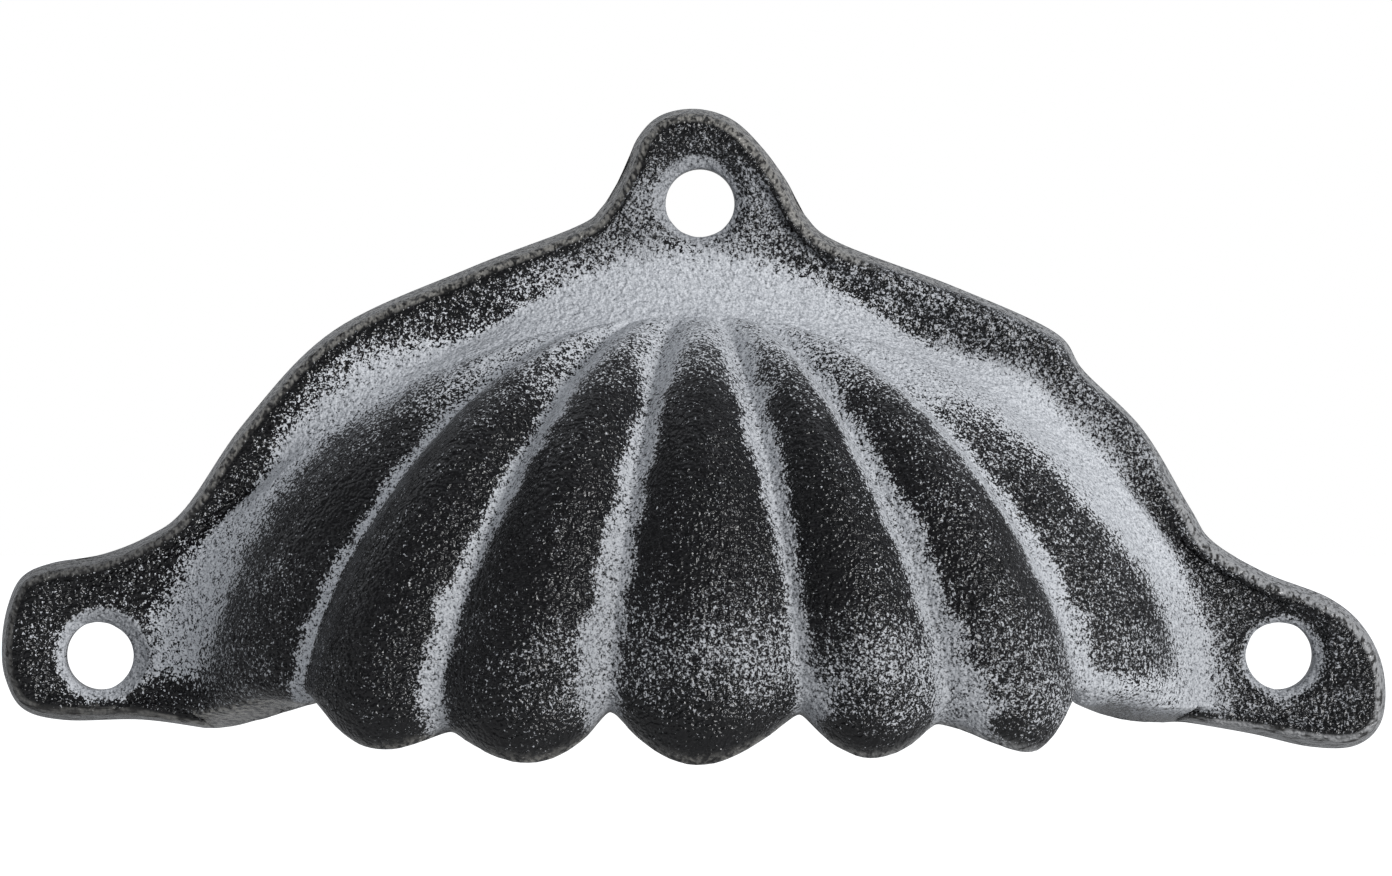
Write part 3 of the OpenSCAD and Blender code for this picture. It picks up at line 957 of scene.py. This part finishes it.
FLOOR_Z = -0.060
FLOOR_HALF = 3.0
FLOOR_COLOUR = (0.5, 0.5, 0.5, 1)
FLOOR_GLOW = 0.90
FLOOR_MIRRORED_GLOW = 0.1


def floor_material():
    """Pale surface that the camera sees as white, with a soft shadow, and that is clear from below."""
    material = bpy.data.materials.new("pale floor")
    material.use_nodes = True
    tree = material.node_tree
    tree.nodes.clear()
    out = add(tree, "ShaderNodeOutputMaterial")
    ray = add(tree, "ShaderNodeLightPath").outputs
    mirrored_glow = maths(tree, "MULTIPLY", ray["Is Glossy Ray"], FLOOR_MIRRORED_GLOW)
    glow_level = maths(tree, "MULTIPLY_ADD", ray["Is Camera Ray"], FLOOR_GLOW, mirrored_glow)
    diffuse = add(tree, "ShaderNodeBsdfDiffuse", Color=FLOOR_COLOUR)
    glow = add(tree, "ShaderNodeEmission", Color=WHITE, Strength=glow_level)
    both = add(tree, "ShaderNodeAddShader", diffuse.outputs[0], glow.outputs[0])
    clear = add(tree, "ShaderNodeBsdfTransparent")
    below = add(tree, "ShaderNodeNewGeometry").outputs["Backfacing"]
    faced = add(tree, "ShaderNodeMixShader", below, both.outputs[0], clear.outputs[0])
    tree.links.new(faced.outputs[0], out.inputs["Surface"])
    return material


def floor_plane():
    s = FLOOR_HALF
    plane = mesh_object("floor", [(-s, -s, 0), (s, -s, 0), (s, s, 0), (-s, s, 0)], [(0, 1, 2, 3)])
    plane.location = (0, 0, FLOOR_Z)
    plane.data.materials.append(floor_material())
    return plane


floor_plane()


# Two lamps from the right in front, a broad one and a small one for the sparkle: the name, the place,
# the width, the height and the power
LAMPS = (
    ("key", (0.54, -0.62, 0.09), 0.36, 0.30, 3.5),
    ("spark", (0.52, -0.60, 0.12), 0.09, 0.09, 1.7),
)
LAMP_AIM = (0, 0, 0.01)


def area_lamp(name, place, width, height, power):
    data = bpy.data.lights.new(name, "AREA")
    data.shape = "RECTANGLE"
    data.size, data.size_y = width, height
    data.energy = power
    lamp = bpy.data.objects.new(name, data)
    lamp.location = place
    lamp.rotation_mode = "QUATERNION"
    lamp.rotation_quaternion = (Vector(LAMP_AIM) - Vector(place)).to_track_quat("-Z", "Y")
    bpy.context.scene.collection.objects.link(lamp)


for lamp_values in LAMPS:
    area_lamp(*lamp_values)

SKY_COLOUR = (0.95, 0.98, 1.03, 1)


def studio_world():
    """Soft light that is stronger from above, and a white background for the camera."""
    world = bpy.data.worlds.new("studio")
    world.use_nodes = True
    tree = world.node_tree
    tree.nodes.clear()
    ray = add(tree, "ShaderNodeLightPath").outputs
    direct = add(tree, "ShaderNodeTexCoord").outputs["Generated"]
    towards = add(tree, "ShaderNodeSeparateXYZ", Vector=direct).outputs
    overhead = maths(tree, "MULTIPLY_ADD", step_between(tree, towards["Z"], -0.7, 0.9), 0.30, 0.35)
    # what the iron mirrors is darker in front of the object than behind it
    behind = step_between(tree, towards["Y"], -0.6, 0.8)
    contrast = maths(tree, "MULTIPLY_ADD", behind, 0.52, -0.46)
    mirrored = maths(tree, "MULTIPLY", ray["Is Glossy Ray"], contrast)
    lit = maths(tree, "MAXIMUM", maths(tree, "ADD", mirrored, overhead), 0.0)
    strength = blend_value(tree, ray["Is Camera Ray"], lit, 1.0)
    sky = blend_colour(tree, ray["Is Camera Ray"], SKY_COLOUR, WHITE)
    background = add(tree, "ShaderNodeBackground", Color=sky, Strength=strength)
    out = add(tree, "ShaderNodeOutputWorld")
    tree.links.new(background.outputs[0], out.inputs["Surface"])
    return world


bpy.context.scene.world = studio_world()

# The photograph's width and scale in pixels, and the camera's distance, which give its lens
PICTURE_W = 1392
PIXELS_PER_MM = 13.22
CAMERA_AWAY = 0.400
CAMERA_X, CAMERA_Z = 0.0005, 0.0164

camera_data = bpy.data.cameras.new("camera")
camera_data.sensor_width = 36.0
camera_data.lens = PIXELS_PER_MM * CAMERA_AWAY / MM * camera_data.sensor_width / PICTURE_W
camera_data.clip_start = 0.01
camera = bpy.data.objects.new("camera", camera_data)
camera.location = (CAMERA_X, -CAMERA_AWAY, CAMERA_Z)
camera.rotation_euler = (math.radians(90), 0, 0)
bpy.context.scene.collection.objects.link(camera)
bpy.context.scene.camera = camera
bpy.context.scene.view_settings.view_transform = "Standard"
